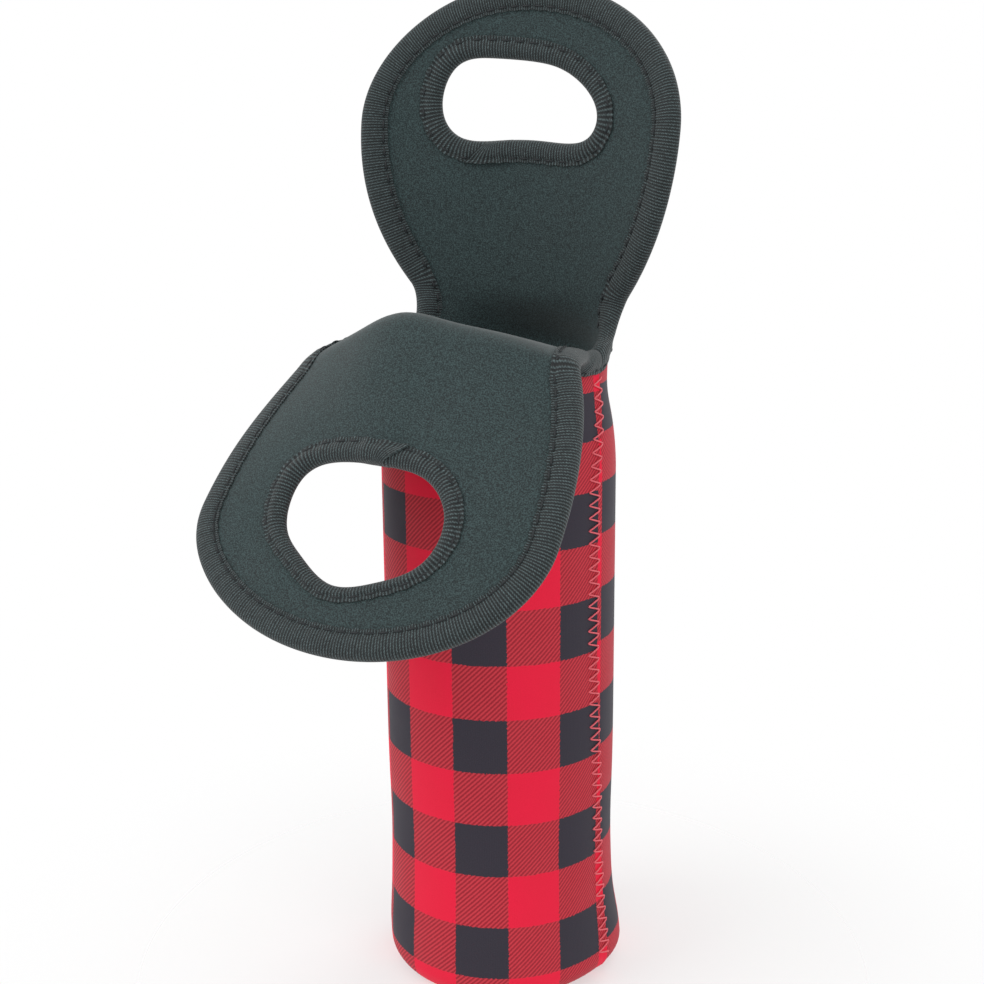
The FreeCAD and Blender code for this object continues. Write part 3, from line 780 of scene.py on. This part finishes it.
    def edge_path(self):
        """The bound edge and a line inside it: up the right of the bend, round the flap, down the left.

        At the foot of the bend the edge lifts over the side seam, and the line inside it turns down.
        """
        share = np.linspace(0, 1, BEND_EDGE_STEPS)
        halves = self.bend(share, np.linspace(0, 1, BEND_HALF_STEPS))
        reach = 1 - TAPE_CHORD / steps(halves, 1).sum(axis=1)[:, None]
        inset = self.bend(share, np.concatenate([-reach, reach], axis=1))
        sides = self.bend(share, np.array([-1.0, 1.0]))
        settle = (1 - smooth(share / SADDLE_SHARE))[:, None, None]
        toward = unit((inset - sides) * (1 - settle) - UP * TAPE_CHORD * settle) * TAPE_CHORD
        sides = sides + UP * SADDLE_RISE * settle
        inset = sides + toward
        outline = self.dense_outline()
        inward = unit(np.gradient(outline, axis=0)) @ np.array([[0, 1], [-1, 0]])
        inner = outline + inward * TAPE_CHORD
        edge = np.concatenate([sides[:-1, 1], self.flap(*outline.T), sides[-2::-1, 0]])
        inside = np.concatenate([inset[:-1, 1], self.flap(*inner.T), inset[-2::-1, 0]])
        return edge, inside

    def hole_path(self):
        """The hole's edge and a line round it, both on the middle surface, and the tape's width there."""
        lines = [self.hole_outline(HOLE_STEPS, grow) for grow in (0.0, TAPE_CHORD)]
        lines = [np.concatenate([line, line[:1]]) for line in lines]
        beyond = smooth((lines[0][:, 1:] - self.hole_centre[1]) / NARROWING_SPAN)
        width = self.hole_tape - self.hole_tape_narrows * beyond
        return [self.flap(*line.T) for line in lines] + [width]


def evenly(count, *lines):
    """Points at even steps along the first line, and the matching points of those that run beside it."""
    travel = travelled(lines[0])
    places = np.linspace(0, travel[-1], count)
    return [join(*(np.interp(places, travel, column) for column in line.T)) for line in lines]


def blur(line, reach, closed=False):
    """Line smoothed by a moving bell-shaped average of its points."""
    weights = np.exp(-np.linspace(-2, 2, 2 * reach + 1) ** 2)
    mode = "wrap" if closed else "edge"
    padded = np.pad(line, ((reach, reach), (0, 0)), mode=mode)
    return join(*(np.convolve(column, weights / weights.sum(), "valid") for column in padded.T))


def tape_profile(width):
    """Outside and inside of the U of the tape: insets from its outer edge, and heights over its middle."""
    run = np.linspace(1, 0, TAPE_SIDE_STEPS)
    turn = np.linspace(0, math.pi, TAPE_FOLD_STEPS)[1:-1]
    outside = (TAPE_OUTER, TAPE_OUTER, TAPE_OUTER)
    inside = (TAPE_INNER_SEAT, TAPE_INNER_REACH, TAPE_INNER)
    sides = []
    for centre, reach, level in (outside, inside):
        flat = centre + run * (width - centre)
        fold = np.broadcast_to(centre - reach * np.sin(turn), (len(width), len(turn)))
        inset = np.concatenate([flat, fold, flat[:, ::-1]], axis=1)
        height = np.concatenate([level + 0 * run, level * np.cos(turn), -level + 0 * run])
        sides.append((inset, height))
    return sides


def tape_frame(edge, inside, width, lap=0.0):
    """Even points along a bound edge: directions into the sheet, off it and along, travel, length, width.

    Round a hole the path runs on past its start by the lap, and the length is that of one turn.
    """
    length = steps(edge).sum()
    count = int(length / TAPE_STEP)
    edge, inside, width = evenly(count + 1, edge, inside, width)
    closed = lap > 0
    if closed:
        edge, inside, width = edge[:-1], inside[:-1], width[:-1]
        ahead = np.roll(edge, -1, axis=0) - np.roll(edge, 1, axis=0)
    else:
        ahead = np.gradient(edge, axis=0)
    inward = blur((inside - edge) / TAPE_CHORD, TAPE_BLUR, closed)
    ahead = unit(ahead)
    normal = unit(np.cross(ahead, inward))
    pick = np.arange(len(edge) + int(lap / TAPE_STEP)) % len(edge)
    travel = np.arange(len(pick)) * length / count
    return edge[pick], inward[pick], normal[pick], ahead[pick], travel, length, width[pick]


def tape(path, swell, slant):
    """U profile carried along a bound edge, drawn down in a dimple at each stitch, with slanting ends."""
    edge, inward, normal, ahead, travel, width = path
    (inset, height), (inner_inset, inner_height) = tape_profile(width)
    stitch = (0.5 + 0.5 * np.cos(2 * math.pi * travel / STITCH_PITCH))[:, None]
    groove = np.exp(-((inset - (width - STITCH_INSET)) / GROOVE_SPAN) ** 2)
    puff = np.exp(-((inset - width / 2) / PUFF_SPAN) ** 2)
    lip = smooth((inset - width + LIP_SPAN) / LIP_SPAN)
    level = np.abs(height) + puff * (PUFF - PUFF_DROP * stitch)
    level = level - groove * (GROOVE + DIMPLE * stitch) - lip * LIP_DROP
    on_side = np.abs(height) > TAPE_SIDE_SHARE * TAPE_OUTER
    level = np.where(on_side, level, np.abs(height)) * np.sign(height)
    place = inset + lip * (LIP_SWAY * (1 - stitch) - LIP_BACK)
    end = smooth(1 - np.minimum(travel, travel[-1] - travel) / END_SPAN)[:, None]
    along = slant * end * (inset / width - 0.5)
    rails = []
    for across, rise in ((place, level), (inner_inset, inner_height + 0 * inner_inset)):
        lift = swell[:, None] * (np.abs(rise) > TAPE_LIFTED)
        lifted = np.sign(rise) * np.maximum(np.abs(rise) + lift, 0)
        rails.append(edge[:, None] + inward[:, None] * across[..., None]
                     + normal[:, None] * lifted[..., None] + ahead[:, None] * along[..., None])
    faces = grid_faces(len(travel), inset.shape[1])
    points, faces = closed_sheet(rails[0].reshape(-1, 3), rails[1].reshape(-1, 3), faces)
    widest = inset[np.argmax(width)]
    around = np.concatenate([[0], np.cumsum(np.hypot(np.diff(widest), np.diff(height)))])
    cut = join(travel[:, None], around).reshape(-1, 2)
    return points, faces, np.concatenate([cut, cut])


def stitch_body():
    """A short stitch: shares of half its length, angles round it, and its thickness for each share."""
    share = np.linspace(-1, 1, STITCH_RINGS)[:, None]
    turn = np.linspace(0, 2 * math.pi, STITCH_SIDES, endpoint=False)
    return share, turn, np.sqrt(np.clip(STITCH_FULL - share ** 2, STITCH_LEAST, 1))


def lockstitches(path):
    """Short thread loops at even steps along both faces of a tape; their ends dip into it."""
    edge, inward, normal, ahead, travel, width = path
    places = np.arange(STITCH_PITCH / 2, travel[-1], STITCH_PITCH)
    pick = np.clip(np.round(places / TAPE_STEP).astype(int), 0, len(travel) - 1)
    share, turn, thick = stitch_body()
    thick = STITCH_RADIUS * thick
    arch = STITCH_ARCH * (1 - share ** 2) - STITCH_SUNK
    forward = ahead[pick][:, None, None]
    beside = np.cross(ahead[pick], normal[pick])[:, None, None]
    line = (edge[pick] + inward[pick] * (width[pick] - STITCH_INSET))[:, None, None]
    loops = []
    for side in (1, -1):
        up = normal[pick][:, None, None] * side
        loops.append(line + up * TAPE_OUTER + forward * (share * STITCH_LENGTH / 2 + 0 * turn)[..., None]
                     + up * (arch + thick * np.sin(turn))[..., None]
                     + beside * (thick * np.cos(turn))[..., None])
    return tubes(np.concatenate(loops))


def tubes(points):
    """Mesh of many closed tubes, given as tubes of rings of points, with a flat cap at each end."""
    count, rings, sides = points.shape[:3]
    one = grid_faces(rings, sides, wrap_columns=True)
    starts = (np.arange(count) * rings * sides)[:, None, None]
    faces = (one[None] + starts).reshape(-1, 4)
    ring = np.arange(sides)
    caps = np.concatenate([ring[::-1] + starts[:, 0], ring + starts[:, 0] + (rings - 1) * sides])
    return points.reshape(-1, 3), faces, caps


def zigzag(side):
    """Thread of one side seam: a softened triangle wave on the front panel, sunk where it turns."""
    count = int((RIM_Z - ZIGZAG_HEAD - ZIGZAG_FOOT) / ZIGZAG_PITCH) * ZIGZAG_STEPS
    phase = np.arange(count + 1) / ZIGZAG_STEPS
    height = ZIGZAG_FOOT + phase * ZIGZAG_PITCH
    swing = 0.5 - np.arcsin(ZIGZAG_SHARPNESS * np.cos(2 * math.pi * phase)) / math.pi
    swing = (swing - swing.min()) / (swing.max() - swing.min())
    away = np.abs(2 * swing - 1)
    seam = right_seam_angle(height) if side > 0 else QUARTER + 0 * height
    radius = wall_radius(height) + ZIGZAG_SEAT + (1 - away ** 3) * ZIGZAG_ARCH
    radius = radius + SEAM_LIP * np.exp(-(swing * ZIGZAG_LIP_RATE) ** 2)
    angle = seam - (swing * ZIGZAG_WIDTH - ZIGZAG_OVERLAP) / BODY_RADIUS
    if side > 0:
        radius = radius + unevenness(angle, height)
    line = join(side * radius * np.sin(angle), -radius * np.cos(angle), height)
    out = unit(line * [1, 1, 0])
    ahead = unit(np.gradient(line, axis=0))
    beside = unit(np.cross(ahead, out))
    turn = np.linspace(0, 2 * math.pi, ZIGZAG_SIDES, endpoint=False)
    around = out[:, None] * np.sin(turn)[:, None] + beside[:, None] * np.cos(turn)[:, None]
    rings = line[:, None] + THREAD_RADIUS * around
    return tubes(rings[None])


def base_stitches():
    """Ring of short stitches over the seam between the base and the sleeve, on the inside."""
    angle = np.arange(BASE_STITCHES) / BASE_STITCHES * 4 * QUARTER
    out = join(np.cos(angle), np.sin(angle), 0)[:, None, None]
    ahead = np.cross(UP, out)
    share, turn, thick = stitch_body()
    thick = THREAD_RADIUS * thick
    height = WALL + BASE_STITCH_SEAT + BASE_STITCH_ARCH * (1 - share ** 2) + thick * np.sin(turn)
    points = (out * (BASE_RADIUS + BASE_STITCH_OUT + (thick * np.cos(turn))[..., None])
              + ahead * (share * BASE_STITCH_HALF + 0 * turn)[..., None]
              + UP * height[..., None])
    return tubes(points)


# Pieces

def dress(piece, nodes, body):
    """Hide the nodes that a piece stands for; it rides on one body, or, given two, has its place baked into
    its mesh.
    """
    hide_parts(*nodes)
    if isinstance(body, str):
        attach(piece, body)
    else:
        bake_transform(piece)


def add_cloth(name, outer_ply, inner_ply, cut, area, face_nodes, lining_nodes, body):
    """Print and lining of one cut of cloth; each ply is given as its points and quads."""
    both = np.concatenate([cut, cut])
    outer = add_piece(f"{name}_print", *outer_ply, PRINT, both)
    dress(outer, face_nodes, body)
    inner = add_piece(f"{name}_knit_lining", *inner_ply, LINING, both)
    dress(inner, lining_nodes, body)
    for piece in (outer, inner):
        flat_size(cut)


def add_binding(name, path, swell, slant, binding_nodes, stitch_node, body):
    """Tape along a path that tape_frame gives, less its length, sewn on with lockstitches."""
    points, faces, cut = tape(path, swell, slant)
    binding = add_piece(f"{name}_tape", points, faces, TAPE, cut, sharp_angle=THREAD_SHARP)
    dress(binding, binding_nodes, body)
    points, faces, caps = lockstitches(path)
    stitches = add_piece(f"{name}_lockstitch", points, faces, DARK_THREAD, None, caps, THREAD_SHARP)
    dress(stitches, [stitch_node], body)
    flat_size(cut)


# The two bodies of each flap's cloth, and the points where it would start to turn with the flap and where
# it would turn fully, in metres; nothing here makes it turn
TURNING = {
    "front": ("sleeve", "front_flap", (0, -0.0386, 0.24), (0, -0.0502, 0.24)),
    "back": ("sleeve", "back_flap", (0, 0, 0.2345), (0, 0, 0.2535)),
}

for panel in ("front", "back"):
    points, faces, cut = sleeve_panel(panel, SEAM_LIP)
    middle = len(points) // 2
    if surface_normals(points, faces)[middle] @ (points[middle] * [1, 1, 0]) < 0:
        faces = faces[:, ::-1]
    face = layer(points, faces, SKIN_GAP - LINING_DEPTH, 0)
    lining = layer(sleeve_panel(panel, 0)[0], faces, -WALL, -LINING_DEPTH)
    add_cloth(f"{panel}_panel", face, lining, cut, sheet_area(points, faces),
              [f"{panel}_sleeve_face", f"{panel}_sleeve_foam"], [f"{panel}_sleeve_lining"], "sleeve")

    handle = Handle(panel)
    points, faces, cut = handle.sheet()
    lining_side = surface_normals(points, faces)[ACROSS // 2] @ np.array([0, -handle.side, 0])
    if lining_side < 0:
        faces = faces[:, ::-1]
    half = WALL / 2
    bond = half - (WALL - LINING_DEPTH)
    face = layer(points, faces, -half, bond - SKIN_GAP, ACROSS + 1)
    lining = layer(points, faces, bond, half, ACROSS + 1)
    nodes = [f"{panel}_{part}_{ply}" for part in ("bend", "flap") for ply in ("face", "foam")]
    add_cloth(f"{panel}_handle", face, lining, cut, sheet_area(points, faces),
              nodes, [f"{panel}_bend_lining", f"{panel}_flap_lining"], TURNING[panel])

    edge, inside = handle.edge_path()
    width = np.full((len(edge), 1), EDGE_TAPE_WIDTH)
    *path, travel, length, width = tape_frame(edge, inside, width)
    to_end = np.minimum(travel, length - travel)[:, None]
    width = width - SADDLE_NARROWS * (1 - smooth(to_end / SADDLE_SPAN))
    add_binding(f"{panel}_edge", (*path, travel, width), 0 * travel, 0.0,
                [f"{panel}_bend_binding", f"{panel}_flap_binding"],
                f"{panel}_flap_stitching", TURNING[panel])

    *path, travel, length, width = tape_frame(*handle.hole_path(), HOLE_LAP)
    over = LAP_LIFT * smooth((travel - length + LAP_RISE) / LAP_RISE)
    add_binding(f"{panel}_hole", (*path, travel, width), over, LAP_SLANT,
                [f"{panel}_hole_binding"], f"{panel}_hole_stitching", f"{panel}_flap")

for name, side in (("right", 1), ("left", -1)):
    points, faces, caps = zigzag(side)
    thread = add_piece(f"{name}_zigzag_thread", points, faces, CORAL_THREAD, None, caps, THREAD_SHARP)
    dress(thread, [f"{name}_side_seam"], "sleeve")

BASE_PLIES = (
    ("base_print", 0, LINING_DEPTH - SKIN_GAP, PRINT, "printed_knit", ["base_face", "base_foam"]),
    ("base_knit_lining", LINING_DEPTH, WALL, LINING, "lining_knit", ["base_lining"]),
)
for name, low, high, finish, slot, nodes in BASE_PLIES:
    points, faces, caps = base_ply(low, high)
    piece = add_piece(name, points, faces, finish, points[:, :2], caps)
    dress(piece, nodes, "sleeve")
points, faces, caps = base_stitches()
piece = add_piece("base_seam_stitches", points, faces, DARK_THREAD, None, caps, THREAD_SHARP)
dress(piece, ["base_seam_thread"], "sleeve")


# Floor, light and camera

# Floor: metres from its middle, and shares of a full cover and of white
FLOOR_REACH, FLOOR_COVER, FLOOR_TONE = 0.4, 0.5, 0.96
FLOOR_SOLID, FLOOR_FADED = 0.04, 0.24
FLOOR_RINGS, FLOOR_TURNS, FLOOR_FIRST_RING = 12, 96, 0.01
FLOOR_ROUGHNESS, FLOOR_SPECULAR = 0.9, 0.1
# Strength of the white surroundings as light; the camera sees them at full strength
SKY_STRENGTH = 0.64
LAMP_SIZE = 0.9

# Pale matt floor that stays solid round the object and thins out to the white backdrop
floor_finish, shader, start = new_material("pale_floor", {
    "Base Color": (FLOOR_TONE, FLOOR_TONE, FLOOR_TONE, 1), "Roughness": FLOOR_ROUGHNESS,
    "Specular IOR Level": FLOOR_SPECULAR})
place = start.node("ShaderNodeTexCoord", output="Object")
away = start.node("ShaderNodeVectorMath", {"operation": "LENGTH"}, {0: place}, "Value")
solid = (1 - away.ramp(FLOOR_SOLID, FLOOR_FADED)) * FLOOR_COVER
solid.into(shader, "Alpha")
floor_radii = np.linspace(FLOOR_FIRST_RING, 1, FLOOR_RINGS) * FLOOR_REACH
floor_points = ring_points(floor_radii, 0 * floor_radii, FLOOR_TURNS)
floor_faces = grid_faces(FLOOR_RINGS, FLOOR_TURNS, wrap_columns=True).tolist()
floor_faces.append(list(range(FLOOR_TURNS)))
floor_mesh = bpy.data.meshes.new("pale_floor")
floor_mesh.from_pydata(floor_points.tolist(), [], floor_faces)
floor_mesh.materials.append(floor_finish)
floor = add_object("pale_floor", floor_mesh)

world = bpy.data.worlds.new("studio")
world.use_nodes = True
bpy.context.scene.world = world
sky = Signal(world.node_tree)
path = world.node_tree.nodes.new("ShaderNodeLightPath")
seen = sum(Signal(world.node_tree, path.outputs[kind])
           for kind in ("Is Camera Ray", "Is Glossy Ray", "Is Transmission Ray"))
strength = sky.math("MAXIMUM", sky.math("MINIMUM", seen, 1.0), SKY_STRENGTH)
background = world.node_tree.nodes["Background"]
background.inputs["Color"].default_value = (1, 1, 1, 1)
strength.into(background, "Strength")


def lamp(name, place, target, power):
    """Soft square lamp, turned from its place to a target; places are in metres and power is in watts."""
    data = bpy.data.lights.new(name, "AREA")
    data.shape = "SQUARE"
    data.size = LAMP_SIZE
    data.energy = power
    back = unit(np.array(place, float) - np.array(target, float))
    side = unit(np.cross(UP, back))
    add_object(name, data, place, join(side, np.cross(back, side), back))


lamp("key_lamp", (-0.85, -0.95, 1.2), (0, 0, 0.2), 9.0)
lamp("fill_lamp", (1.15, -0.75, 0.7), (0, 0, 0.18), 5.2)
lamp("back_lamp", (0.2, 1.2, 1.2), (0, 0, 0.2), 5.0)

AZIMUTH, PITCH, ROLL = math.radians(28.0), 0.2256, -0.0085
FOCAL_PIXELS, IMAGE_PIXELS, SENSOR = 1421.73, 984, 36.0
CAMERA_PLACE, CLIP_START = (0.23256, -0.44263, 0.2955), 0.01
right = np.array([math.cos(AZIMUTH), math.sin(AZIMUTH), 0])
level_ahead = np.array([-math.sin(AZIMUTH), math.cos(AZIMUTH), 0])
ahead = level_ahead * math.cos(PITCH) - UP * math.sin(PITCH)
up = np.cross(right, ahead)
rolled_right = math.cos(ROLL) * right + math.sin(ROLL) * up
rolled_up = math.cos(ROLL) * up - math.sin(ROLL) * right
camera_data = bpy.data.cameras.new("camera")
camera_data.sensor_width = SENSOR
camera_data.lens = FOCAL_PIXELS * SENSOR / IMAGE_PIXELS
camera_data.clip_start = CLIP_START
camera = add_object("camera", camera_data, CAMERA_PLACE, join(rolled_right, rolled_up, -ahead))
bpy.context.scene.camera = camera
bpy.context.scene.view_settings.view_transform = "Standard"

bpy.context.view_layer.update()
